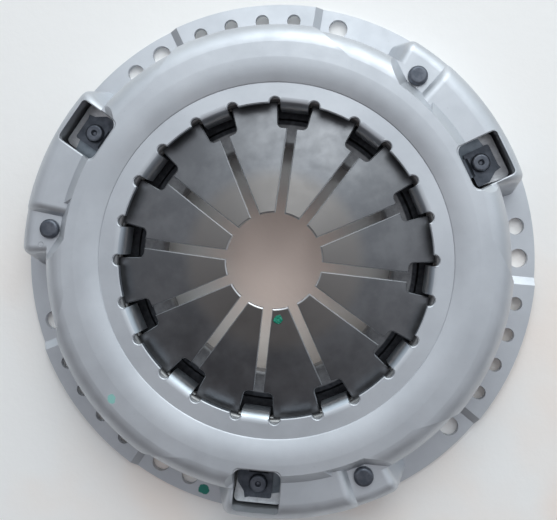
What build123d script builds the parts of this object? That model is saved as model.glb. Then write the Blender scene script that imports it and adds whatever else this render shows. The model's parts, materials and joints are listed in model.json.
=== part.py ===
from build123d import *
import math
import os

# A clutch cover assembly for a 200 mm disc, standing on its mounting flange at z = 0
# with the gearbox side up. Angles are in degrees, counted from the middle of a raised
# stretch of the flange. Everything repeats three times, and the fingers twelve times.
# Radii step inwards from the flange's edge, and heights step down from the dome's top.
sectors = 3
fingers = 12
first_sector = 90.0
sector_pitch = 360 / sectors
finger_pitch = 360 / fingers
half_pitch = finger_pitch / 2

# Cover: one pressing in sheet steel
sheet = 3.0
flange_r = 121.75
flange_width = 16.45
dome_width = 26.3
ring_width = 8.9
kerb = 0.3
crown_lean = 20.6
crown_round = 30.0
shoulder = 10.0
flange_root = 3.0
bulge_top = 33.3
ring_drop = 2.3
skirt_r = flange_r - flange_width
step_r = skirt_r - dome_width
ring_edge_r = step_r - ring_width
ring_top = bulge_top - ring_drop
ring_under = ring_top - sheet

# Raised stretches of the flange, with the skirt set out behind them
flange_raise = 2.5
raised_half = 17.1
raised_ramp = 3.6
skirt_set_out = 1.5
skirt_ramp = 2.2

# Strap tunnels, each with a window over the lug and a lower pad for the fixed rivet
tunnel_edge = 3.95
tunnel_drop = 4.3
tunnel_round = 9.0
tunnel_start = 39.2
tunnel_lean = 6.0
pad_drop = 3.5
pad_round = 6.0
pad_start = 70.2
pad_step_run = 2.6
pad_end = 82.2
pad_lean = 6.9
end_round = 4.0
step_lead = 1.5
tunnel_fade = 6.0
pad_fade = 11.0
slope_width = 10.8
tunnel_slope = 4.5
pad_slope = 5.1
tunnel_out_r = flange_r - tunnel_edge
tunnel_top = bulge_top - tunnel_drop
pad_top = tunnel_top - pad_drop
slope_top_r = skirt_r - slope_width
tunnel_crease_r = slope_top_r + tunnel_slope
pad_crease_r = slope_top_r + pad_slope

# Window over each lug
window_angle = 47.6
window_lead = 2.0
window_rim = 4.6
window_width = 21.0
window_round = 3.5
window_in = slope_top_r - window_lead
window_out = tunnel_out_r - window_rim

# Holes in the flange
bolt_edge = 7.75
bolt_d = 9.0
bolt_angle = 22.3
dowel_d = 8.0
dowel_angle = 30.0
small_holes = 4
small_d = 6.5
small_pitch = 7.65
bolt_circle_r = flange_r - bolt_edge

# Tabs bent down from the ring to hold the two pivot wires
notch_r = 2.55
notch_half_angle = 7.16
tab_bend = 1.6
hook_t = 2.6
hook_reach = 3.2

# Pivot wires and the diaphragm spring between them
wire_d = 3.4
wire_set_out = 2.7
wire_fit = 0.1
spring_t = 2.3
cone_angle = 13.4
spring_gap = 9.3
tip_r = 21.0
tip_length = 19.5
tip_cone_angle = 11.0
slot_width = 4.1
eye_rim = 4.0
eye_length = 17.5
eye_in_width = 12.7
eye_out_width = 17.6
eye_round = 2.2
wire_r = wire_d / 2
wire_circle_r = ring_edge_r + wire_set_out
spring_r = skirt_r - sheet - spring_gap
tip_bend_r = tip_r + tip_length
eye_out_r = wire_circle_r + eye_rim
eye_in_r = eye_out_r - eye_length
cone_rise = math.tan(math.radians(cone_angle))
cone_cos = math.cos(math.radians(cone_angle))
half_thick = spring_t / 2 / cone_cos
wire_offset = (wire_r + spring_t / 2) / cone_cos
upper_wire_z = ring_under - wire_r
pivot_z = upper_wire_z - wire_offset
lower_wire_z = pivot_z - wire_offset

# The tabs follow the wires
tab_width = 2 * (ring_edge_r * math.sin(math.radians(notch_half_angle)) - notch_r)
tab_out_r = math.sqrt((wire_circle_r - wire_r) ** 2 - (tab_width / 2) ** 2) - wire_fit
tab_in_r = tab_out_r - sheet
tab_root_r = tab_out_r + tab_bend
hook_top = lower_wire_z - wire_r
hook_under = hook_top - hook_t
hook_out_r = wire_circle_r + hook_reach

# Pressure plate: a cast ring with a ridge under the spring and three lugs
travel = 3.9
plate_gap = 1.8
plate_width = 47.5
plate_t = 9.5
plate_round = 2.0
face_edge = 0.8
hook_gap = 1.0
ledge_width = 10.5
land_width = 12.0
land_rise = 1.2
ridge_inset = 2.5
ridge_w = 6.0
ridge_rise = 3.23
ridge_flat = 0.05
ridge_gap = 0.15
plate_r = skirt_r - sheet - plate_gap
plate_bore_r = plate_r - plate_width
land_r = plate_bore_r + land_width
ridge_r = spring_r - ridge_inset
ledge_r = ridge_r - ledge_width

# Straps: packs of thin leaves from the lugs to the cover's pads
leaves = 3
leaf_t = 0.7
leaf_width = 12.0
leaf_end = 6.6
leaf_flat = 8.5
leaf_corner = 3.6
strap_rise = 4.4
lug_rivet_out = 2.2
pad_rivet_out = 1.5
pad_rivet_angle = 74.5
pack_t = leaves * leaf_t
strap_seat = pad_top - sheet
lug_rivet_r = plate_r + lug_rivet_out
pad_rivet_r = lug_rivet_r + pad_rivet_out

# Lugs, up under the straps and out into the tunnels
lug_t = 9.0
lug_overlap = 4.0
lug_gap = 1.6
lug_before = 9.3
lug_flare = 2.0
lug_after = 11.0
lug_round = 2.5
lug_top = strap_seat - pack_t - strap_rise
lug_root = plate_r - lug_overlap
lug_out = tunnel_out_r - sheet - lug_gap

# Rivets
shank_d = 5.5
shank_fit = 0.05
leaf_fit = 0.1
lug_head_d = 8.5
lug_head_h = 2.2
lug_dimple = 1.4
pad_head_d = 8.9
pad_head_h = 2.5
head_crown = 0.6
tail_d = 8.0
tail_h = 1.6
tail_gap = 0.5

# Clips that hold the spring's edge on the ridge
clip_t = 1.2
clip_root = 5.7
clip_claw = 6.8
clip_before = 9.6
clip_after = 6.4
clip_round = 1.0
clip_arm_width = 9.0
clip_hold = 2.1
clip_gap = 0.2
clip_seat = lug_top + pack_t
clip_in = lug_rivet_r - clip_root
clip_out = lug_rivet_r + clip_claw
clip_reach = spring_r - clip_hold

# Bounds of the blocks that the sheet is cut from, well outside the pressing, how far
# drills run past a wall, and how upright or level a face is that isn't a leaning end
low = -30.0
far = flange_r + 40.0
inner_r = ring_edge_r / 2
high = 2 * bulge_top
drill_over = 1.0
upright_limit = 0.05
level_limit = 0.95


def spring_mid(radius):
    """Height of the middle of the spring's thickness outside the fingers' bend."""
    return pivot_z + (wire_circle_r - radius) * cone_rise


def polygon(*corners):
    """Face with straight sides; a corner is (x, y), or (x, y, radius) to round it."""
    face = make_face(Polyline(*[corner[:2] for corner in corners], close=True))
    for corner in corners:
        if len(corner) == 3:
            nearest = face.vertices().sort_by_distance((corner[0], corner[1], 0))[0]
            face = fillet(nearest, corner[2])
    return face


def turned(face, start=0, sweep=360):
    """Turns a face, drawn as (radius, height), about the main axis."""
    return Rot(0, 0, start) * revolve(Plane.XZ * face, Axis.Z, sweep)


def spokes(count, first=0):
    """Places at equal angles about the main axis."""
    return [Rot(0, 0, first + i * 360 / count) for i in range(count)]


def placed(places, *shapes):
    """Copies of the shapes at each place."""
    return [place * shape for place in places for shape in shapes]


def drilled(radius, angle, diameter, bottom, top):
    """Upright drill through a point given by its radius and angle."""
    drill = Cylinder(diameter / 2, top - bottom, align=(Align.CENTER, Align.CENTER, Align.MIN))
    return Rot(0, 0, angle) * Pos(radius, 0, bottom) * drill


def sloped(block, angle, radius, height, run, rise, side, inset):
    """Cuts a block's end by a plane that climbs towards its middle.

    The plane holds the spoke at this angle and height, and rises by rise over run, or
    leans the other way if run is below zero. side is +1 at the block's first end and -1
    at its last. inset moves the plane in.
    """
    across = Vector(0, -side * rise, run).normalized()
    return trimmed(block, angle, Vector(radius, 0, height) - across * inset, across)


def tapered(block, angle, radius, run, rise, side, inset):
    """Thins a block's end by an upright plane, which leaves the skin by rise over run."""
    across = Vector(run, -side * rise, 0).normalized()
    return trimmed(block, angle, Vector(radius, 0, 0) - across * inset, across)


def trimmed(block, angle, origin, across):
    """Cuts off what lies past a plane, which is given as if the spoke lay along X."""
    plane = Plane(origin=origin, z_dir=across)
    turned_back = Rot(0, 0, -angle) * block
    return Rot(0, 0, angle) * split(turned_back, bisect_by=plane, keep=Keep.BOTTOM)


def rounded_end(block, side, inset):
    """Rounds the edges that show round a block's leaning end, the outer skin's more."""
    ends = block.faces().filter_by(GeomType.PLANE).filter_by(is_leaning)
    middle = block.center(CenterOf.MASS)
    across = Vector(-middle.Y, middle.X, 0).normalized()
    end = ends.sort_by(lambda face: -side * (face.center() - middle).dot(across))[-1]
    shown = [edge for edge in end.edges() if is_shown(edge)]
    return fillet(shown, end_round - inset)


def is_leaning(face):
    """Tells a leaning end from flat and upright faces."""
    return upright_limit < abs(face.normal_at().Z) < level_limit


def is_shown(edge):
    """Tells the top and outer edges of an end from those inside the dome or below."""
    middle = edge.center()
    return middle.Z > low / 2 and math.hypot(middle.X, middle.Y) > slope_top_r + drill_over


def below(face, inset):
    """A form's section, or the same section one sheet further in."""
    return offset(face, -inset, kind=Kind.INTERSECTION) if inset else face


def main_form(inset):
    """Crowned dome, dropped ring and flange, all the way round."""
    crown_run = (ring_drop - kerb) / math.tan(math.radians(crown_lean))
    section = polygon(
        (inner_r, low),
        (inner_r, ring_top),
        (step_r, ring_top),
        (step_r + kerb, ring_top + kerb),
        (step_r + kerb + crown_run, bulge_top, crown_round),
        (skirt_r, bulge_top, shoulder),
        (skirt_r, sheet, flange_root),
        (far, sheet),
        (far, low),
    )
    return turned(below(section, inset))


def raised_flange(inset):
    """Raised stretch of the flange, with a ramp at each end."""
    top = sheet + flange_raise
    section = polygon((skirt_r - shoulder, low), (skirt_r - shoulder, top), (far, top), (far, low))
    block = turned(below(section, inset), -finger_pitch, 2 * finger_pitch)
    height = sheet + flange_raise / 2
    for side in (-1, 1):
        angle = -side * raised_half
        block = sloped(
            block, angle, bolt_circle_r, height, raised_ramp, flange_raise, side, inset
        )
    return block


def set_out_skirt(inset):
    """Skirt behind a raised stretch, a little further out than the rest."""
    out_r = skirt_r + skirt_set_out
    section = polygon(
        (slope_top_r - sheet, low),
        (slope_top_r - sheet, bulge_top),
        (out_r, bulge_top, shoulder),
        (out_r, low),
    )
    block = turned(below(section, inset), -finger_pitch, 2 * finger_pitch)
    middle = skirt_r + skirt_set_out / 2
    for side in (-1, 1):
        angle = -side * raised_half
        block = tapered(block, angle, middle, skirt_ramp, skirt_set_out, side, inset)
    return block


def above_strap(top, crease_r, first, last, inset):
    """Room that is pressed down beside the dome, over one stretch of a strap."""
    section = polygon(
        (slope_top_r, bulge_top),
        (crease_r, top),
        (far, top),
        (far, high),
        (slope_top_r, high),
    )
    grown = offset(section, inset, kind=Kind.INTERSECTION) if inset else section
    return turned(grown, first, last - first)


def faded(room, end, top, crease_r, run, side, inset):
    """Ends a room by a slope that leaves the crease and meets the shoulder's edge.

    It reaches the edge at the angle end, after the given run, and climbs inwards as
    steeply as the room's own side. side is +1 at the room's first end, -1 at its last.
    """
    climb = (bulge_top - top) / (crease_r - slope_top_r)
    level = Vector(-run, -side * (skirt_r - crease_r), 0).normalized()
    across = (level * climb - Vector(0, 0, 1)).normalized()
    angle = end + side * math.degrees(run / crease_r)
    return trimmed(room, angle, Vector(crease_r, 0, top) + across * inset, across)


def over_tunnel(inset):
    """Room over the tunnel, from its leaning end to the ramp down to the pad."""
    room = above_strap(
        tunnel_top, tunnel_crease_r, tunnel_start - half_pitch, pad_start, inset
    )
    return faded(room, tunnel_start, tunnel_top, tunnel_crease_r, tunnel_fade, 1, inset)


def over_pad(inset):
    """Deeper room over the pad, from the ramp to where the shoulder takes over."""
    room = above_strap(
        pad_top, pad_crease_r, pad_start - half_pitch, pad_end + half_pitch, inset
    )
    ramp = pad_start - step_lead
    step = tunnel_top - pad_top
    room = sloped(room, ramp, skirt_r, pad_top, -pad_step_run, step, 1, -inset)
    return faded(room, pad_end, pad_top, pad_crease_r, pad_fade, -1, inset)


def tunnel_form(inset):
    """Raised block that a strap runs through, leaning in at its first end."""
    section = polygon(
        (slope_top_r - sheet, low),
        (slope_top_r - sheet, tunnel_top),
        (tunnel_out_r, tunnel_top, tunnel_round),
        (tunnel_out_r, low),
    )
    block = turned(below(section, inset), 0, sector_pitch)
    middle = (tunnel_top + sheet) / 2
    rise = tunnel_top - sheet
    block = sloped(block, tunnel_start, tunnel_out_r, middle, tunnel_lean, rise, 1, inset)
    step = tunnel_top - pad_top
    step_z = (tunnel_top + pad_top) / 2
    block = sloped(block, pad_start, tunnel_out_r, step_z, pad_step_run, step, -1, inset)
    return rounded_end(rounded_end(block, 1, inset), -1, inset)


def pad_form(inset):
    """Lower block that ends the tunnel and carries the fixed rivet."""
    section = polygon(
        (slope_top_r - sheet, low),
        (slope_top_r - sheet, pad_top),
        (tunnel_out_r, pad_top, pad_round),
        (tunnel_out_r, low),
    )
    block = turned(below(section, inset), pad_start - half_pitch, 2 * finger_pitch)
    middle = (pad_top + sheet) / 2
    block = sloped(block, pad_end, tunnel_out_r, middle, pad_lean, pad_top - sheet, -1, inset)
    return rounded_end(block, -1, inset)


def pressed_block(inset):
    """Everything under the cover's outer skin, or under its inner skin."""
    places = spokes(sectors, first_sector)
    block = main_form(inset)
    block += placed(places, set_out_skirt(inset), raised_flange(inset))
    block -= placed(places, over_tunnel(inset), over_pad(inset))
    block += placed(places, tunnel_form(inset), pad_form(inset))
    return block


def tab():
    """Strip bent down from the ring and hooked outwards under the lower wire."""
    root = tab_root_r + sheet / 2
    side = polygon(
        (root, ring_top),
        (tab_in_r, ring_top, tab_bend + sheet),
        (tab_in_r, hook_under, hook_t),
        (hook_out_r, hook_under, hook_t / 3),
        (hook_out_r, hook_top, hook_t / 4),
        (tab_out_r, hook_top, hook_t / 4),
        (tab_out_r, ring_under, tab_bend),
        (root, ring_under),
    )
    return extrude(Plane.XZ * side, tab_width / 2, both=True)


def window():
    """Opening over a lug, from the dome's slope to the tunnel's rim."""
    half = window_width / 2
    outline = polygon(
        (window_in, -half, window_round),
        (window_out, -half, window_round / 2),
        (window_out, half, window_round / 2),
        (window_in, half, window_round),
    )
    return Rot(0, 0, window_angle) * Pos(0, 0, lug_top) * extrude(outline, high)


def flange_holes():
    """Bolt, dowel and small holes of one sector."""
    top = sheet + flange_raise + drill_over
    spots = [(-bolt_angle, bolt_d), (bolt_angle, bolt_d), (dowel_angle, dowel_d)]
    middle = (small_holes - 1) / 2
    spots += [((i - middle) * small_pitch, small_d) for i in range(small_holes)]
    return [drilled(bolt_circle_r, angle, size, -drill_over, top) for angle, size in spots]


def make_cover():
    """The pressing, trimmed to its blank, pierced, and given its tabs."""
    blank = Cylinder(flange_r, high, align=(Align.CENTER, Align.CENTER, Align.MIN))
    blank -= Cylinder(ring_edge_r, high, align=(Align.CENTER, Align.CENTER, Align.MIN))
    cover = (pressed_block(0) - pressed_block(sheet)) & blank
    strip = Pos(tab_root_r, 0, ring_under - sheet / 2) * Box(
        2 * sheet, tab_width, 2 * sheet, align=(Align.MAX, Align.CENTER, Align.MIN)
    )
    notches = [
        drilled(ring_edge_r, side * notch_half_angle, 2 * notch_r, ring_under - drill_over, high)
        for side in (-1, 1)
    ]
    rivet_hole = drilled(pad_rivet_r, pad_rivet_angle, shank_d + 2 * shank_fit, sheet, high)
    tab_places = spokes(fingers, half_pitch)
    cuts = placed(tab_places, strip, *notches)
    cuts += placed(spokes(sectors, first_sector), window(), rivet_hole, *flange_holes())
    return cover - cuts + placed(tab_places, tab())


def make_spring():
    """Coned disc cut into fingers, which bend a little flatter near their tips."""
    bend_z = spring_mid(tip_bend_r)
    tip_rise = math.tan(math.radians(tip_cone_angle))
    tip_z = bend_z + (tip_bend_r - tip_r) * tip_rise
    edge_z = spring_mid(spring_r)
    section = polygon(
        (tip_r, tip_z - half_thick, spring_t / 4),
        (tip_bend_r, bend_z - half_thick),
        (spring_r, edge_z - half_thick, spring_t / 3),
        (spring_r, edge_z + half_thick, spring_t / 3),
        (tip_bend_r, bend_z + half_thick),
        (tip_r, tip_z + half_thick, spring_t / 4),
    )
    spring = turned(section)
    slot = Box(eye_in_r, slot_width, 2 * high, align=(Align.MIN, Align.CENTER, Align.CENTER))
    eye = polygon(
        (eye_in_r, -eye_in_width / 2, eye_round),
        (eye_out_r, -eye_out_width / 2, eye_round),
        (eye_out_r, eye_out_width / 2, eye_round),
        (eye_in_r, eye_in_width / 2, eye_round),
    )
    cut = extrude(eye, high) + Pos(eye_round, 0, 0) * slot
    return spring - placed(spokes(fingers, half_pitch), cut)


def make_wire(height):
    """Round pivot wire, closed to a ring."""
    return Pos(0, 0, height) * Torus(wire_circle_r, wire_r)


def make_plate():
    """Cast ring: friction face below, ridge and turned land above, lugs at its edge."""
    crest_r = ridge_w / 2
    crest = spring_mid(ridge_r) - (spring_t / 2 + crest_r + ridge_gap) / cone_cos + crest_r
    plate_top = crest - ridge_rise
    plate_face = plate_top - plate_t
    inner_top = hook_under - travel - hook_gap
    land_top = inner_top + land_rise
    section = polygon(
        (plate_bore_r, plate_face, face_edge),
        (plate_r, plate_face, face_edge),
        (plate_r, plate_top, plate_round),
        (ridge_r + crest_r, plate_top),
        (ridge_r + crest_r, crest, crest_r - ridge_flat),
        (ridge_r - crest_r, crest, crest_r - ridge_flat),
        (ridge_r - crest_r, plate_top),
        (ledge_r, plate_top, plate_round),
        (ledge_r - plate_top + inner_top, inner_top, plate_round),
        (land_r + land_rise, inner_top),
        (land_r, land_top),
        (plate_bore_r, land_top, plate_round),
    )
    plate = turned(section)
    outline = polygon(
        (lug_root, -lug_before),
        (lug_out, -lug_before - lug_flare, lug_round),
        (lug_out, lug_after, lug_round),
        (lug_root, lug_after),
    )
    lug = Pos(0, 0, lug_top - lug_t) * extrude(outline, lug_t)
    hole = drilled(lug_rivet_r, 0, shank_d + 2 * shank_fit, 0, high)
    recess = drilled(lug_rivet_r, 0, tail_d + 2 * tail_gap, 0, lug_top - lug_t)
    places = spokes(sectors, first_sector + window_angle)
    return plate + placed(places, lug) - placed(places, hole, recess)


def make_clip():
    """Pressed clip under a lug rivet, with an arm over the spring's edge."""
    base = polygon(
        (clip_in, -clip_before, clip_round),
        (lug_rivet_r, -clip_before, clip_round),
        (clip_out - 2 * clip_t, -clip_after, clip_round / 2),
        (clip_out + clip_t / 2, -clip_after + clip_t / 2, clip_round / 4),
        (clip_out, -clip_after + 2 * clip_t, clip_round / 2),
        (clip_out, clip_after, clip_round),
        (clip_in, clip_after, clip_round),
    )
    clip = Pos(0, 0, clip_seat) * extrude(base, clip_t)
    arm_z = spring_mid(clip_reach) + half_thick + clip_gap
    side = polygon(
        (clip_in + clip_t, clip_seat),
        (clip_in, clip_seat),
        (clip_in - clip_t, arm_z),
        (clip_reach, arm_z, clip_t / 3),
        (clip_reach, arm_z + clip_t, clip_t / 3),
        (clip_in - clip_t / 2, arm_z + clip_t, clip_t),
        (clip_in + clip_t, clip_seat + clip_t),
    )
    clip += extrude(Plane.XZ * side, clip_arm_width / 2, both=True)
    return clip - drilled(lug_rivet_r, 0, shank_d + 2 * shank_fit, 0, high)


def make_rivet(head_d, head_h, seat, bottom, dimple):
    """Rivet with a domed head on its seat and a flat formed tail at the bottom."""
    shank_r = shank_d / 2
    corners = [
        (0, bottom - tail_h),
        (tail_d / 2, bottom - tail_h, tail_h / 3),
        (tail_d / 2, bottom, tail_h / 4),
        (shank_r, bottom),
        (shank_r, seat),
        (head_d / 2, seat),
        (head_d / 2, seat + head_h, head_h * head_crown),
    ]
    if dimple:
        corners += [(dimple, seat + head_h, dimple / 4), (dimple / 2, seat + head_h - dimple)]
        corners += [(0, seat + head_h - dimple)]
    else:
        corners += [(0, seat + head_h)]
    return turned(polygon(*corners))


def make_leaf(level):
    """One strap leaf, flat at both ends and sloped between them, lug end at the origin."""
    rise = strap_rise
    z0 = lug_top + level * leaf_t
    last = strap_span - leaf_flat
    start = -leaf_end
    end = strap_span + leaf_end
    side = polygon(
        (start, z0),
        (leaf_flat, z0),
        (last, z0 + rise),
        (end, z0 + rise),
        (end, z0 + rise + leaf_t),
        (last, z0 + rise + leaf_t),
        (leaf_flat, z0 + leaf_t),
        (start, z0 + leaf_t),
    )
    leaf = extrude(Plane.XZ * side, leaf_width / 2, both=True)
    half = leaf_width / 2
    plan = polygon(
        (start, -half, leaf_corner),
        (end, -half, leaf_corner),
        (end, half, leaf_corner),
        (start, half, leaf_corner),
    )
    leaf = leaf & extrude(plan, high)
    for x in (0, strap_span):
        leaf -= drilled(x, 0, shank_d + 2 * leaf_fit, 0, high)
    return leaf


def polar(radius, angle):
    """Point of the plan at a radius and an angle."""
    return Vector(
        radius * math.cos(math.radians(angle)), radius * math.sin(math.radians(angle)), 0
    )


lug_point = polar(lug_rivet_r, window_angle)
pad_point = polar(pad_rivet_r, pad_rivet_angle)
strap_span = (pad_point - lug_point).length
strap_turn = math.degrees(
    math.atan2(pad_point.Y - lug_point.Y, pad_point.X - lug_point.X)
)


def write(name, shape):
    """Writes one piece to its own file."""
    export_step(shape, "parts/" + name + ".step")


os.makedirs("parts", exist_ok=True)
write("cover", make_cover())
write("diaphragm_spring", make_spring())
write("upper_fulcrum_ring", make_wire(upper_wire_z))
write("lower_fulcrum_ring", make_wire(lower_wire_z))
write("pressure_plate", make_plate())

clip_piece = make_clip()
lug_rivet = make_rivet(lug_head_d, lug_head_h, clip_seat + clip_t, lug_top - lug_t, lug_dimple)
pad_rivet = make_rivet(pad_head_d, pad_head_h, pad_top, strap_seat - pack_t, 0)
strap_leaves = [make_leaf(level) for level in range(leaves)]
for sector, place in enumerate(spokes(sectors, first_sector), 1):
    window_place = place * Rot(0, 0, window_angle)
    write("retracting_clip_" + str(sector), window_place * clip_piece)
    write("lug_rivet_" + str(sector), window_place * Pos(lug_rivet_r, 0, 0) * lug_rivet)
    pad_place = place * Rot(0, 0, pad_rivet_angle) * Pos(pad_rivet_r, 0, 0)
    write("cover_rivet_" + str(sector), pad_place * pad_rivet)
    strap_place = place * Pos(lug_point) * Rot(0, 0, strap_turn)
    for level, leaf in enumerate(strap_leaves, 1):
        write("strap_leaf_" + str(sector) + "_" + str(level), strap_place * leaf)
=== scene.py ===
import json
import math

import bmesh
import bpy
import numpy as np
from mathutils import Euler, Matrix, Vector

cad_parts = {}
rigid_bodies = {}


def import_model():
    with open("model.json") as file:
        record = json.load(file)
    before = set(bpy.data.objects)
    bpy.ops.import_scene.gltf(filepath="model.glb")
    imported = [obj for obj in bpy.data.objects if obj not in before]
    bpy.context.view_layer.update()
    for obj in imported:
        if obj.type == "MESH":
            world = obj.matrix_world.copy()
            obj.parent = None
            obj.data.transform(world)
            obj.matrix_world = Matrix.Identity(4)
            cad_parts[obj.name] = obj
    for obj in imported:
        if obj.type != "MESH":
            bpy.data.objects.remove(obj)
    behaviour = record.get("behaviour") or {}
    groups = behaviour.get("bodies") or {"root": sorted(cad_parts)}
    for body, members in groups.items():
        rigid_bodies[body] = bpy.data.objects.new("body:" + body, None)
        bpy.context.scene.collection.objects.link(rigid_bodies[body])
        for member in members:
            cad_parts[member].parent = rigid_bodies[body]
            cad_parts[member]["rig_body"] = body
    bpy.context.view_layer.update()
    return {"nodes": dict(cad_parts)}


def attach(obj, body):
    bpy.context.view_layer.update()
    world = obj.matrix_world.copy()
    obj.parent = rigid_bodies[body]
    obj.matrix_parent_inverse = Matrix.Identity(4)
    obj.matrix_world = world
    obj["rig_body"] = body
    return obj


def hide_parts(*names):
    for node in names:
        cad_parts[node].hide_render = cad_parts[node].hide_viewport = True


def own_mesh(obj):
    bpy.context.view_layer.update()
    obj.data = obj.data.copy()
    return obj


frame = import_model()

nodes = frame["nodes"]

# Camera: nearly straight above, a little towards the raised stretch at the top of the view
CAMERA_PLACE = (0.02385, 0.00955, 0.34146)
CAMERA_TURN = (0.471, 2.539, -7.748)
LENS = 45.4
SHIFT = (-0.0278, -0.061)
FLOOR_SIDE, FLOOR_Z = 16.0, -0.0002

# Diaphragm spring, in metres and degrees
FINGERS = 12
HALF_PITCH = 180 / FINGERS
SPRING_TIP = 0.0210
SPRING_BEND = 0.0405
SPRING_RIM = 0.0930
SPRING_THICK = 0.0023
SPRING_CHAMFER = 0.00045
PIVOT_R = 0.0728
PIVOT_Z = 0.02337
CONE = math.tan(math.radians(13.4))
TIP_CONE = math.tan(math.radians(11.0))
BEND_SOFTNESS = 0.0008
SLOT_HALF = 0.00205
EYE_IN, EYE_OUT = 0.0593, 0.0768
EYE_IN_HALF, EYE_OUT_HALF = 0.00635, 0.0088
EYE_ROUND = 0.0022

# Points of the spring's grids: across a finger, out along the rim, and along the edge of
# a slot, the eye's inner end, first corner, side, second corner and outer end
ACROSS, RIM_ROWS = 15, 12
SLOT_POINTS, IN_POINTS, CORNER_POINTS = 44, 6, 9
SIDE_POINTS, TURN_POINTS, OUT_POINTS = 14, 11, 8

# Edges of the cover whose corners are broken, in metres and degrees
RING_R, RING_LOW = 0.0701, 0.0305
NOTCH_TURN, NOTCH_R = 7.16, 0.00255
WINDOW_ANGLE, SECTOR = 17.6, 120.0
WINDOW_IN, WINDOW_OUT = 0.0925, 0.1132
WINDOW_HALF, WINDOW_ROUND = 0.0105, 0.0025
BROKEN = 0.0005

# Where the cover's tabs, which are painted darker as shade, and its flange begin, from the
# last place without to the first with
TAB_EDGE, TAB_TOP = (0.0709, 0.0702), (0.0309, 0.0305)
FLANGE_TOP = (0.0080, 0.0070)

# Where the plate's land ends, beyond which the iron is painted darker as shade, and where
# it is turned bright, in metres, and its turning marks
LAND_EDGE = (0.0634, 0.0626)
LUG_TOP, LUG_ROOT = (0.01585, 0.01590), (0.0975, 0.0985)
FRICTION_FACE = (0.0052, 0.0050)
TURNING = 26000.0

# Dabs of green paint and a small dimple: place and radius
DOME_DAB = (-0.0800, -0.0511, 0.0021)
FLANGE_DAB = (-0.0509, -0.1059, 0.0028)
FINGER_DAB = (-0.0016, -0.0258, 0.0022)
PAD_DIMPLE = (-0.1056, 0.0215, 0.0011)

# Angle past which an edge stays sharp, in degrees
SHARP = 30.0


def placed(name, data):
    """New object in the scene for a mesh, a lamp or a camera."""
    thing = bpy.data.objects.new(name, data)
    bpy.context.scene.collection.objects.link(thing)
    return thing


def node_tree(block):
    """Empties a material's or world's node tree and returns it."""
    block.use_nodes = True
    block.node_tree.nodes.clear()
    return block.node_tree


# Sockets of a colour mix: its share and its two colours
MIX_COLOURS = (0, 6, 7)


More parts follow.
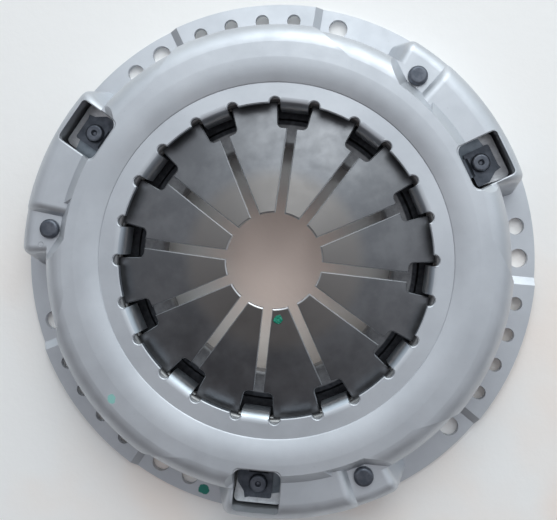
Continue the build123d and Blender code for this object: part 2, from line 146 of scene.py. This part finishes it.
class Recipe:
    """Short words for adding and joining the nodes of one material."""

    def __init__(self, name):
        self.material = bpy.data.materials.new(name)
        self.tree = node_tree(self.material)
        self.shader = self.add("ShaderNodeBsdfPrincipled")
        output = self.add("ShaderNodeOutputMaterial")
        self.join(self.shader.outputs["BSDF"], output.inputs["Surface"])
        self.place = self.add("ShaderNodeTexCoord").outputs["Object"]

    def add(self, kind, **settings):
        """New node with its settings."""
        node = self.tree.nodes.new(kind)
        for key, value in settings.items():
            setattr(node, key, value)
        return node

    def join(self, source, target):
        """Link from a node's output to an input."""
        self.tree.links.new(source, target)

    def feed(self, target, value):
        """Joins a socket to a node's input, or sets a plain number or colour there."""
        if isinstance(value, bpy.types.NodeSocket):
            self.join(value, target)
        else:
            target.default_value = value

    def math(self, operation, *values):
        """Result of one operation on sockets or plain numbers."""
        node = self.add("ShaderNodeMath", operation=operation)
        for target, value in zip(node.inputs, values):
            self.feed(target, value)
        return node.outputs[0]

    def noise(self, scale, detail=3.0, roughness=0.55, place=None):
        """Cloudy share from 0 to 1, on the object's coordinates or another place."""
        node = self.add("ShaderNodeTexNoise")
        self.join(place or self.place, node.inputs["Vector"])
        node.inputs["Scale"].default_value = scale
        node.inputs["Detail"].default_value = detail
        node.inputs["Roughness"].default_value = roughness
        return node.outputs["Fac"]

    def between(self, value, low, high, bottom=0.0, top=1.0):
        """Runs smoothly from bottom to top while value runs from low to high."""
        node = self.add("ShaderNodeMapRange", interpolation_type="SMOOTHSTEP")
        for target, number in zip(node.inputs, (value, low, high, bottom, top)):
            self.feed(target, number)
        return node.outputs[0]

    def both(self, first, second):
        """1 where both shares are 1."""
        return self.math("MULTIPLY", first, second)

    def blend(self, share, first, second):
        """Colour that goes from first to second as share goes from 0 to 1."""
        node = self.add("ShaderNodeMix", data_type="RGBA")
        for index, value in zip(MIX_COLOURS, (share, first, second)):
            self.feed(node.inputs[index], value)
        return node.outputs[2]

    def polar(self):
        """Radius, turn in degrees and height of a point, from the object's coordinates."""
        parts = self.add("ShaderNodeSeparateXYZ")
        self.join(self.place, parts.inputs[0])
        x, y, z = parts.outputs
        turn = self.math("MULTIPLY", self.math("ARCTAN2", y, x), 180 / math.pi)
        return self.distance(x, y), turn, z

    def stretched(self, radius, turn, height, across, along, up):
        """Place on the turned surface, scaled apart so that a noise runs in rings."""
        node = self.add("ShaderNodeCombineXYZ")
        parts = ((radius, across), (turn, along), (height, up))
        for target, (value, scale) in zip(node.inputs, parts):
            self.join(self.math("MULTIPLY", value, scale), target)
        return node.outputs[0]

    def folded(self, radius, turn, pitch, first):
        """Place along and across the nearest of several equal spokes."""
        shifted = self.math("ADD", turn, pitch / 2 - first)
        leftover = self.math("FLOORED_MODULO", shifted, pitch)
        degrees = self.math("SUBTRACT", leftover, pitch / 2)
        away = self.math("MULTIPLY", degrees, math.pi / 180)
        along = self.math("MULTIPLY", radius, self.math("COSINE", away))
        across = self.math("MULTIPLY", radius, self.math("SINE", away))
        return along, self.math("ABSOLUTE", across)

    def distance(self, x, y):
        """Length of a step of x and y."""
        squares = [self.math("MULTIPLY", step, step) for step in (x, y)]
        return self.math("SQRT", self.math("ADD", *squares))

    def spot(self, x, y, radius):
        """1 inside a round spot of the plan with a ragged edge, and 0 outside it."""
        parts = self.add("ShaderNodeSeparateXYZ")
        self.join(self.place, parts.inputs[0])
        dx, dy = (self.math("SUBTRACT", parts.outputs[i], at) for i, at in ((0, x), (1, y)))
        ragged = self.math("MULTIPLY", self.noise(420, 3), radius * 0.9)
        away = self.math("ADD", self.distance(dx, dy), ragged)
        return self.between(away, radius * 1.45, radius * 1.3)

    def bump(self, height, strength, distance=0.0005, under=None):
        """Normal turned by a height, on top of another bump's."""
        node = self.add("ShaderNodeBump")
        node.inputs["Strength"].default_value = strength
        node.inputs["Distance"].default_value = distance
        self.feed(node.inputs["Height"], height)
        if under is not None:
            self.join(under, node.inputs["Normal"])
        return node.outputs[0]

    def finish(self, colour, rough, metal, normal):
        """Gives the shader its colour, roughness, metal and normal."""
        self.feed(self.shader.inputs["Base Color"], colour)
        self.feed(self.shader.inputs["Roughness"], rough)
        self.feed(self.shader.inputs["Metallic"], metal)
        self.join(normal, self.shader.inputs["Normal"])
        return self.material


def grey(level):
    """Opaque grey."""
    return (level, level, level, 1.0)


def cover_corners(r, radius, turn, height):
    """Falls from 1 to 0 over the last half millimetre before the cover's cut edges.

    The edges are the ring's between its notches, the notches' and the windows'. A window
    is a box with round corners, so its edge's distance is the step beyond a smaller box,
    less the corner's radius.
    """
    along, across = r.folded(radius, turn, 2 * HALF_PITCH, HALF_PITCH)
    notch = math.radians(NOTCH_TURN)
    dx = r.math("SUBTRACT", along, RING_R * math.cos(notch))
    dy = r.math("SUBTRACT", across, RING_R * math.sin(notch))
    notches = r.math("SUBTRACT", r.distance(dx, dy), NOTCH_R)
    on_tab = r.math("LESS_THAN", across, RING_R * math.sin(notch))
    ring = r.math("ADD", r.math("SUBTRACT", radius, RING_R), on_tab)
    low = r.math("LESS_THAN", height, RING_LOW)
    inner = r.math("ADD", r.math("MINIMUM", notches, ring), low)
    along, across = r.folded(radius, turn, SECTOR, WINDOW_ANGLE)
    middle, half = (WINDOW_IN + WINDOW_OUT) / 2, (WINDOW_OUT - WINDOW_IN) / 2
    lengthways = r.math("ABSOLUTE", r.math("SUBTRACT", along, middle))
    dx = r.math("MAXIMUM", r.math("SUBTRACT", lengthways, half - WINDOW_ROUND), 0.0)
    dy = r.math("MAXIMUM", r.math("SUBTRACT", across, WINDOW_HALF - WINDOW_ROUND), 0.0)
    window = r.math("SUBTRACT", r.distance(dx, dy), WINDOW_ROUND)
    return r.between(r.math("MINIMUM", inner, window), 0.0, BROKEN)


def make_cover_steel():
    """Satin pressed steel: soft clouding, fine grain and stains, with its tabs painted
    darker as shade.
    """
    r = Recipe("cover_steel")
    radius, turn, height = r.polar()
    cloud = r.between(r.noise(26, 4, 0.6), 0.3, 0.7)
    tone = r.blend(cloud, (0.53, 0.55, 0.58, 1), (0.61, 0.63, 0.66, 1))
    specks = r.between(r.noise(700, 4, 0.7), 0.62, 0.78)
    tone = r.blend(r.math("MULTIPLY", specks, 0.35), tone, (0.34, 0.35, 0.37, 1))
    # The bent-down tabs are painted darker and bluer as shade, and are glossier and fully
    # metal
    shaded_tab = r.both(r.between(radius, *TAB_EDGE), r.between(height, *TAB_TOP))
    tone = r.blend(shaded_tab, tone, (0.42, 0.46, 0.50, 1))
    rough = r.between(r.noise(120, 4), 0.3, 0.7, 0.45, 0.56)
    rough = r.math("SUBTRACT", rough, r.math("MULTIPLY", shaded_tab, 0.10))
    metal = r.between(shaded_tab, 0.0, 1.0, 0.78, 1.0)
    rings = r.noise(1.0, 2, 0.5, r.stretched(radius, turn, height, 2600, 0.35, 900))
    grain = r.math("ADD", r.noise(2200, 2), r.math("MULTIPLY", rings, 1.6))
    dents = r.bump(r.noise(90, 2), 0.12, 0.0004)
    broken = r.bump(cover_corners(r, radius, turn, height), 1.0, 0.0003, dents)
    dimple = r.bump(r.math("SUBTRACT", 1.0, r.spot(*PAD_DIMPLE)), 1.0, 0.0005, broken)
    flange_dab = r.both(r.spot(*FLANGE_DAB), r.between(height, *FLANGE_TOP))
    dome_dab = r.math("MULTIPLY", r.spot(*DOME_DAB), 0.6)
    tone = r.blend(dome_dab, tone, (0.03, 0.42, 0.33, 1))
    tone = r.blend(flange_dab, tone, (0.012, 0.20, 0.15, 1))
    paint = r.math("MAXIMUM", r.spot(*DOME_DAB), flange_dab)
    metal = r.math("MULTIPLY", metal, r.math("SUBTRACT", 1.0, paint))
    return r.finish(tone, rough, metal, r.bump(grain, 0.10, 0.00004, dimple))


def make_spring_steel():
    """Tempered spring steel: dark, oiled, bluer outside and browner towards the tips, with
    a painted highlight on its chamfered edges.
    """
    r = Recipe("spring_steel")
    radius, turn, height = r.polar()
    cloud = r.between(r.noise(60, 4, 0.62), 0.32, 0.68)
    tone = r.blend(cloud, (0.140, 0.142, 0.150, 1), (0.190, 0.192, 0.200, 1))
    tone = r.blend(r.between(radius, 0.043, 0.034), tone, (0.200, 0.188, 0.180, 1))
    # The chamfers are painted pale and made glossier: a painted highlight along every edge
    edge = r.add("ShaderNodeAttribute", attribute_name="edge").outputs["Fac"]
    tone = r.blend(edge, tone, (0.62, 0.63, 0.65, 1))
    rough = r.between(r.noise(200, 4), 0.3, 0.7, 0.36, 0.46)
    rough = r.math("SUBTRACT", rough, r.math("MULTIPLY", edge, 0.15))
    dab = r.spot(*FINGER_DAB)
    tone = r.blend(dab, tone, (0.010, 0.27, 0.17, 1))
    rough = r.math("SUBTRACT", rough, r.math("MULTIPLY", dab, 0.25))
    metal = r.between(dab, 0.0, 1.0, 0.85, 0.0)
    lump = r.bump(r.math("MULTIPLY", dab, r.noise(900, 2)), 1.0, 0.0012)
    return r.finish(tone, rough, metal, r.bump(r.noise(1700, 3), 0.12, 0.00003, lump))


def make_plate_iron():
    """Grey iron: lighter grey on the land, dark beyond it partly as cast and partly painted
    shade, bright on the lugs and friction face.
    """
    r = Recipe("plate_iron")
    radius, turn, height = r.polar()
    skin = r.between(r.noise(420, 4, 0.65), 0.35, 0.65)
    cast_and_shade = r.blend(skin, (0.040, 0.042, 0.048, 1), (0.075, 0.078, 0.088, 1))
    turned = r.blend(skin, (0.55, 0.55, 0.56, 1), (0.68, 0.68, 0.69, 1))
    land_grey = r.blend(skin, (0.29, 0.29, 0.30, 1), (0.38, 0.38, 0.39, 1))
    lug = r.both(r.between(height, *LUG_TOP), r.between(radius, *LUG_ROOT))
    face = r.between(height, *FRICTION_FACE)
    bright = r.math("MAXIMUM", lug, face)
    # Beyond the land, under the spring's eyes and the cover, the iron is painted near
    # black: its cast colour darkened as shade
    tone = r.blend(r.between(radius, *LAND_EDGE), cast_and_shade, land_grey)
    tone = r.blend(bright, tone, turned)
    lines = r.math("SINE", r.math("MULTIPLY", radius, TURNING))
    marks = r.math("MULTIPLY", lines, face)
    grain = r.math("ADD", r.noise(1300, 3), r.math("MULTIPLY", marks, 0.5))
    rough = r.between(bright, 0.0, 1.0, 0.55, 0.38)
    return r.finish(tone, rough, 0.75, r.bump(grain, 0.3, 0.00006))


def make_plain_steel(name, dark, light, rough_low, rough_high, metal):
    """Bare or phosphated steel with fine mottling."""
    r = Recipe(name)
    tone = r.blend(r.between(r.noise(260, 4, 0.6), 0.3, 0.7), dark, light)
    rough = r.between(r.noise(400, 3), 0.3, 0.7, rough_low, rough_high)
    return r.finish(tone, rough, metal, r.bump(r.noise(1600, 3), 0.25, 0.00005))


finishes = {
    "cover_steel": make_cover_steel(),
    "spring_steel": make_spring_steel(),
    "wire_steel": make_plain_steel("wire_steel", grey(0.18), grey(0.26), 0.3, 0.4, 1.0),
    "plate_iron": make_plate_iron(),
    "strap_steel": make_plain_steel(
        "strap_steel", (0.13, 0.155, 0.18, 1), (0.19, 0.215, 0.24, 1), 0.3, 0.4, 0.9
    ),
    "rivet_steel": make_plain_steel(
        "rivet_steel", (0.085, 0.095, 0.115, 1), (0.15, 0.16, 0.185, 1), 0.34, 0.5, 0.8
    ),
    "clip_steel": make_plain_steel(
        "clip_steel", (0.055, 0.062, 0.075, 1), (0.10, 0.11, 0.13, 1), 0.36, 0.5, 0.8
    ),
}


def finish_of(name):
    """The finish that a CAD node wears, from its name."""
    for start, key in (
        ("cover_rivet", "rivet_steel"),
        ("lug_rivet", "rivet_steel"),
        ("cover", "cover_steel"),
        ("diaphragm", "spring_steel"),
        ("upper", "wire_steel"),
        ("lower", "wire_steel"),
        ("pressure", "plate_iron"),
        ("strap", "strap_steel"),
        ("retracting", "clip_steel"),
    ):
        if name.startswith(start):
            return key


def dress_nodes():
    """Gives every CAD node its finish."""
    for name, node in nodes.items():
        for index in range(len(node.data.materials)):
            node.material_slots[index].material = finishes[finish_of(name)]


def split_sharp_edges(piece):
    """Keeps the sharp edges of a piece that is shaded smooth."""
    split = piece.modifiers.new("edges", "EDGE_SPLIT")
    split.split_angle = math.radians(SHARP)


def stand_in(name, mesh, node):
    """New piece that stands for a CAD node: rides on its body and wears its finish."""
    piece = placed(name, mesh)
    mesh.materials.clear()
    mesh.materials.append(finishes[finish_of(node)])
    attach(piece, nodes[node]["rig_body"])
    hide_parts(node)
    return piece


def joined_copy(node):
    """A CAD node's mesh with the corners of its triangles joined, shaded smooth."""
    mesh = bpy.data.meshes.new(node + "_skin")
    form = bmesh.new()
    form.from_mesh(nodes[node].data)
    bmesh.ops.remove_doubles(form, verts=form.verts, dist=1e-6)
    form.to_mesh(mesh)
    form.free()
    mesh.shade_smooth()
    return mesh


def joined_mesh(name, grids):
    """Mesh of several grids of points, with the points that two grids share made one.

    Each grid is an array of rows, columns and x, y, z, weight. A quad joins each point to
    the next ones in its row and column. Points within a micrometre of each other are one.
    """
    points, quads, count = [], [], 0
    for grid in grids:
        rows, columns = grid.shape[:2]
        index = count + np.arange(rows * columns).reshape(rows, columns)
        corners = (index[:-1, :-1], index[:-1, 1:], index[1:, 1:], index[1:, :-1])
        quads.append(np.stack(corners, axis=-1).reshape(-1, 4))
        points.append(grid.reshape(-1, 4))
        count += rows * columns
    points, quads = np.concatenate(points), np.concatenate(quads)
    keys = np.round(points[:, :3] * 1e6).astype(np.int64)
    first, shared = np.unique(keys, axis=0, return_index=True, return_inverse=True)[1:]
    mesh = bpy.data.meshes.new(name)
    mesh.from_pydata(points[first, :3].tolist(), [], shared.reshape(-1)[quads].tolist())
    form = bmesh.new()
    form.from_mesh(mesh)
    bmesh.ops.recalc_face_normals(form, faces=form.faces)
    form.to_mesh(mesh)
    form.free()
    mesh.shade_smooth()
    return mesh, points[first, 3]


def spring_height(radius):
    """Middle of the spring's thickness: a cone of 13.4 degrees that bends to 11 inside.

    Height is the pivot's, plus the way in from the pivot times the cone's rise, less the
    difference of the two rises times a softened way in from the bend.
    """
    inside = BEND_SOFTNESS * np.log1p(np.exp((SPRING_BEND - radius) / BEND_SOFTNESS))
    return PIVOT_Z + (PIVOT_R - radius) * CONE - inside * (CONE - TIP_CONE)


def corner_arc(before, corner, after, radius, count):
    """Points on a circle that touches both legs of a corner.

    The circle's middle lies on the corner's bisector, the radius over the sine of half
    the corner away, and the points turn evenly from one leg's foot to the other's.
    """
    before, corner, after = (np.array(point) for point in (before, corner, after))
    leg_in = (before - corner) / np.linalg.norm(before - corner)
    leg_out = (after - corner) / np.linalg.norm(after - corner)
    half = np.arccos(leg_in @ leg_out) / 2
    bisector = leg_in + leg_out
    middle = corner + bisector / np.linalg.norm(bisector) * radius / np.sin(half)
    feet = [corner + leg * radius / np.tan(half) - middle for leg in (leg_in, leg_out)]
    start, end = (np.arctan2(foot[1], foot[0]) for foot in feet)
    sweep = (end - start + np.pi) % (2 * np.pi) - np.pi
    turn = start + sweep * np.linspace(0, 1, count)
    return middle + radius * np.stack((np.cos(turn), np.sin(turn)), axis=-1)


def finger_side():
    """Edge of a finger along its slot and eye, and the same edge one chamfer further in.

    x runs along the middle of the slot and y across it, towards the finger. The edge goes
    straight along the slot, across the eye's inner end, round its corner, along its leaning
    side, and round to the middle of its outer end. The inner line lies one chamfer from
    each point along the mean of the normals of the two pieces of edge that meet there.
    """
    tip = np.sqrt(SPRING_TIP**2 - SLOT_HALF**2)
    slot = np.linspace((tip, SLOT_HALF), (EYE_IN, SLOT_HALF), SLOT_POINTS)
    inner, outer = (EYE_IN, EYE_IN_HALF), (EYE_OUT, EYE_OUT_HALF)
    first = corner_arc((EYE_IN, 0), inner, outer, EYE_ROUND, CORNER_POINTS)
    second = corner_arc(inner, outer, (EYE_OUT, 0), EYE_ROUND, TURN_POINTS)
    across = np.linspace(slot[-1], first[0], IN_POINTS)[1:-1]
    along = np.linspace(first[-1], second[0], SIDE_POINTS)[1:-1]
    end = np.linspace(second[-1], (EYE_OUT, 0), OUT_POINTS)[1:]
    edge = np.concatenate((slot, across, first, along, second, end))
    step = np.diff(edge, axis=0)
    normal = np.stack((-step[:, 1], step[:, 0]), axis=-1)
    normal /= np.linalg.norm(normal, axis=1, keepdims=True)
    outwards = [(1.0, 0.0)]
    before = np.concatenate((outwards, normal))
    after = np.concatenate((normal, outwards))
    before[-1] = after[-1]
    mean = before + after
    mean /= (mean * before).sum(axis=1, keepdims=True)
    return edge, edge + SPRING_CHAMFER * mean


def finger_grid(edge_turn, line_r, line_turn):
    """Radius and angle of a finger's points, from its middle.

    Rows join the inner lines of the finger's two sides, with the points closer together
    towards the sides: the sine of evenly spaced angles times the reach of the row.
    """
    half = math.radians(HALF_PITCH)
    across = np.sin(np.linspace(-1, 1, ACROSS) * np.pi / 2)
    rows = np.concatenate(((SPRING_TIP,), line_r))
    reach = half - np.concatenate(((edge_turn[0],), line_turn))
    return np.repeat(rows[:, None], across.size, axis=1), reach[:, None] * across


def spring_forms():
    """Radius, angle and weight of the grids of one finger and its part of the rim.

    Rows of the finger join the inner lines of its two sides, rows of the rim run from the
    eyes' outer ends to the spring's edge, and a narrow strip follows every edge. Weight is
    0 on an edge, where the sheet is thinner so that a chamfer shows, and 1 elsewhere.
    """
    edge, line = finger_side()
    edge_r, edge_turn = np.hypot(*edge.T), np.arctan2(edge[:, 1], edge[:, 0])
    line_r, line_turn = np.hypot(*line.T), np.arctan2(line[:, 1], line[:, 0])
    half = math.radians(HALF_PITCH)
    root = int(np.argmax(edge_r)) + 1
    finger_r, finger_turn = finger_grid(edge_turn, line_r[:root], line_turn[:root])
    ends = half - line_turn[root:]
    inner_r = np.concatenate((line_r[: root - 1 : -1], finger_r[-1], line_r[root:]))
    inner_turn = np.concatenate((-ends[::-1], finger_turn[-1], ends))
    strip = 1 - SPRING_CHAMFER / (SPRING_RIM - EYE_OUT)
    out = np.append(np.linspace(0, 1, RIM_ROWS) * strip, 1.0)
    rim_r = inner_r + out[:, None] * (SPRING_RIM - inner_r)
    rim_turn = np.repeat(inner_turn[None], out.size, axis=0)
    strip_r = np.stack((edge_r, line_r))
    strip_turn = half - np.stack((edge_turn, line_turn))
    finger_weight, rim_weight = np.ones_like(finger_r), np.ones_like(rim_r)
    strip_weight = np.zeros_like(strip_r)
    finger_weight[0], rim_weight[-1], strip_weight[1] = 0, 0, 1
    return (
        (finger_r, finger_turn, finger_weight),
        (rim_r, rim_turn, rim_weight),
        (strip_r, strip_turn, strip_weight),
        (strip_r, -strip_turn, strip_weight),
    )


def draw_spring():
    """Diaphragm spring: the middle of its sheet, twelve fingers round, then made solid."""
    forms = spring_forms()
    grids = []
    for middle in np.arange(FINGERS) * 2 * math.radians(HALF_PITCH):
        for radius, turn, weight in forms:
            x, y = radius * np.cos(turn + middle), radius * np.sin(turn + middle)
            grids.append(np.stack((x, y, spring_height(radius), weight), axis=-1))
    mesh, weight = joined_mesh("spring_sheet", grids)
    spring = stand_in("spring_sheet", mesh, "diaphragm_spring")
    # 1 on the chamfers, where the spring's finish paints a highlight
    edge = mesh.attributes.new("edge", "FLOAT", "POINT")
    edge.data.foreach_set("value", 1 - weight)
    group = spring.vertex_groups.new(name="full")
    group.add(np.flatnonzero(weight > 0.5).tolist(), 1.0, "REPLACE")
    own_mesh(spring)
    solid = spring.modifiers.new("sheet", "SOLIDIFY")
    solid.thickness = SPRING_THICK
    solid.offset = 0.0
    solid.vertex_group = "full"
    solid.thickness_vertex_group = 1 - 2 * SPRING_CHAMFER / SPRING_THICK
    split_sharp_edges(spring)


def draw_straps():
    """Each strap leaf, as a copy of its CAD mesh, shaded smooth with its sharp edges kept.
    """
    for name in [name for name in nodes if name.startswith("strap_leaf")]:
        leaf = stand_in(name + "_sheet", joined_copy(name), name)
        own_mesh(leaf)
        split_sharp_edges(leaf)


def stage_floor():
    """Pale floor that keeps the shadow, warmer towards the viewer, and painted browner and
    darker as shade under the middle of the cover.
    """
    half = FLOOR_SIDE / 2
    mesh = bpy.data.meshes.new("floor")
    corners = [(-half, -half), (half, -half), (half, half), (-half, half)]
    mesh.from_pydata([(x, y, FLOOR_Z) for x, y in corners], [], [(0, 1, 2, 3)])
    floor = placed("floor", mesh)
    r = Recipe("floor_paper")
    parts = r.add("ShaderNodeSeparateXYZ")
    r.join(r.place, parts.inputs[0])
    patches = r.between(r.noise(9, 3, 0.5), 0.42, 0.66)
    radius = r.polar()[0]
    warm = r.math("MULTIPLY", patches, r.between(parts.outputs[1], 0.10, -0.12))
    warm = r.both(warm, r.between(radius, 0.34, 0.20))
    tone = r.blend(warm, (0.93, 0.91, 0.885, 1), (0.95, 0.82, 0.73, 1))
    # Under the middle of the cover the floor is painted browner and darker, as shade
    tone = r.blend(r.between(radius, 0.046, 0.018), tone, (0.95, 0.77, 0.68, 1))
    grain = r.bump(r.noise(160, 5, 0.6), 0.25, 0.0006)
    mesh.materials.append(r.finish(tone, 0.9, 0.0, grain))


# Room light by how far a direction leans to the window: overhead, and low down
WINDOW_TURN = 22.0
ROOM_ABOVE = (
    (-0.62, (0.060, 0.050, 0.052)),
    (-0.30, (0.235, 0.237, 0.250)),
    (0.00, (0.425, 0.44, 0.47)),
    (0.30, (0.53, 0.56, 0.60)),
    (0.62, (0.68, 0.76, 0.82)),
)
ROOM_BELOW = (
    (-0.80, (0.030, 0.028, 0.030)),
    (0.00, (0.075, 0.080, 0.095)),
    (0.45, (0.26, 0.30, 0.33)),
    (0.90, (0.90, 0.98, 1.00)),
)
ROOM_HORIZON = (0.43, 0.44, 0.45, 1.0)
LOW, OVERHEAD = 0.15, 0.75
HORIZON_TOP, HORIZON_FULL = 0.17, 0.07
ROOM_STRENGTH = 1.50


def room_ramp(tree, lean, stops):
    """Colour by lean, from a row of leans and colours."""
    ramp = tree.nodes.new("ShaderNodeValToRGB")
    tree.links.new(lean, ramp.inputs[0])
    ramp.color_ramp.interpolation = "EASE"
    elements = ramp.color_ramp.elements
    while len(elements) < len(stops):
        elements.new(0.5)
    for element, (y, colour) in zip(elements, stops):
        element.position = (y + 1) / 2
        element.color = (*colour, 1.0)
    return ramp.outputs[0]


def room_share(tree, value, low, high, smooth=True):
    """Runs from 0 to 1 while value runs from low to high."""
    node = tree.nodes.new("ShaderNodeMapRange")
    if smooth:
        node.interpolation_type = "SMOOTHSTEP"
    tree.links.new(value, node.inputs[0])
    node.inputs[1].default_value, node.inputs[2].default_value = low, high
    return node.outputs[0]


def room_mix(tree, share, first):
    """Mix that goes away from the first colour as share goes from 0 to 1."""
    mix = tree.nodes.new("ShaderNodeMix")
    mix.data_type = "RGBA"
    for index, socket in zip(MIX_COLOURS, (share, first)):
        tree.links.new(socket, mix.inputs[index])
    return mix


def soft_world():
    """Room light: bright from the window, dim from the other sides, pale at the horizon."""
    world = bpy.data.worlds.new("room")
    bpy.context.scene.world = world
    tree = node_tree(world)
    add, join = tree.nodes.new, tree.links.new
    output = add("ShaderNodeOutputWorld")
    room = add("ShaderNodeBackground")
    parts = add("ShaderNodeSeparateXYZ")
    turned = add("ShaderNodeVectorRotate")
    turned.rotation_type = "Z_AXIS"
    turned.inputs["Angle"].default_value = math.radians(WINDOW_TURN)
    join(add("ShaderNodeTexCoord").outputs["Generated"], turned.inputs["Vector"])
    join(turned.outputs[0], parts.inputs[0])
    lean = room_share(tree, parts.outputs[1], -1.0, 1.0, smooth=False)
    height = room_share(tree, parts.outputs[2], LOW, OVERHEAD)
    above = room_mix(tree, height, room_ramp(tree, lean, ROOM_BELOW))
    join(room_ramp(tree, lean, ROOM_ABOVE), above.inputs[MIX_COLOURS[2]])
    horizon = room_share(tree, parts.outputs[2], HORIZON_TOP, HORIZON_FULL)
    pale = room_mix(tree, horizon, above.outputs[2])
    pale.inputs[MIX_COLOURS[2]].default_value = ROOM_HORIZON
    join(pale.outputs[2], room.inputs["Color"])
    room.inputs["Strength"].default_value = ROOM_STRENGTH
    join(room.outputs[0], output.inputs["Surface"])


def softbox(name, place, aim, size, power, colour):
    """Square lamp that looks at a point."""
    light = bpy.data.lights.new(name, "AREA")
    light.shape = "RECTANGLE"
    light.size, light.size_y = size
    light.energy = power
    light.color = colour
    lamp = placed(name, light)
    lamp.location = place
    direction = Vector(aim) - Vector(place)
    lamp.rotation_euler = direction.to_track_quat("-Z", "Y").to_euler()


def set_camera():
    """Camera at the photograph's place, looking down at the cover."""
    data = bpy.data.cameras.new("camera")
    data.lens = LENS
    data.sensor_width = 36.0
    data.shift_x, data.shift_y = SHIFT
    data.clip_start = 0.01
    camera = placed("camera", data)
    camera.location = CAMERA_PLACE
    camera.rotation_euler = Euler([math.radians(angle) for angle in CAMERA_TURN])
    bpy.context.scene.camera = camera


dress_nodes()
draw_spring()
draw_straps()

stage_floor()
soft_world()
softbox(
    "window",
    place=(0.22, 0.62, 0.62),
    aim=(0, 0.04, 0.02),
    size=(0.6, 0.6),
    power=3.5,
    colour=(0.93, 0.98, 1.0),
)
set_camera()
bpy.context.scene.view_settings.view_transform = "Standard"
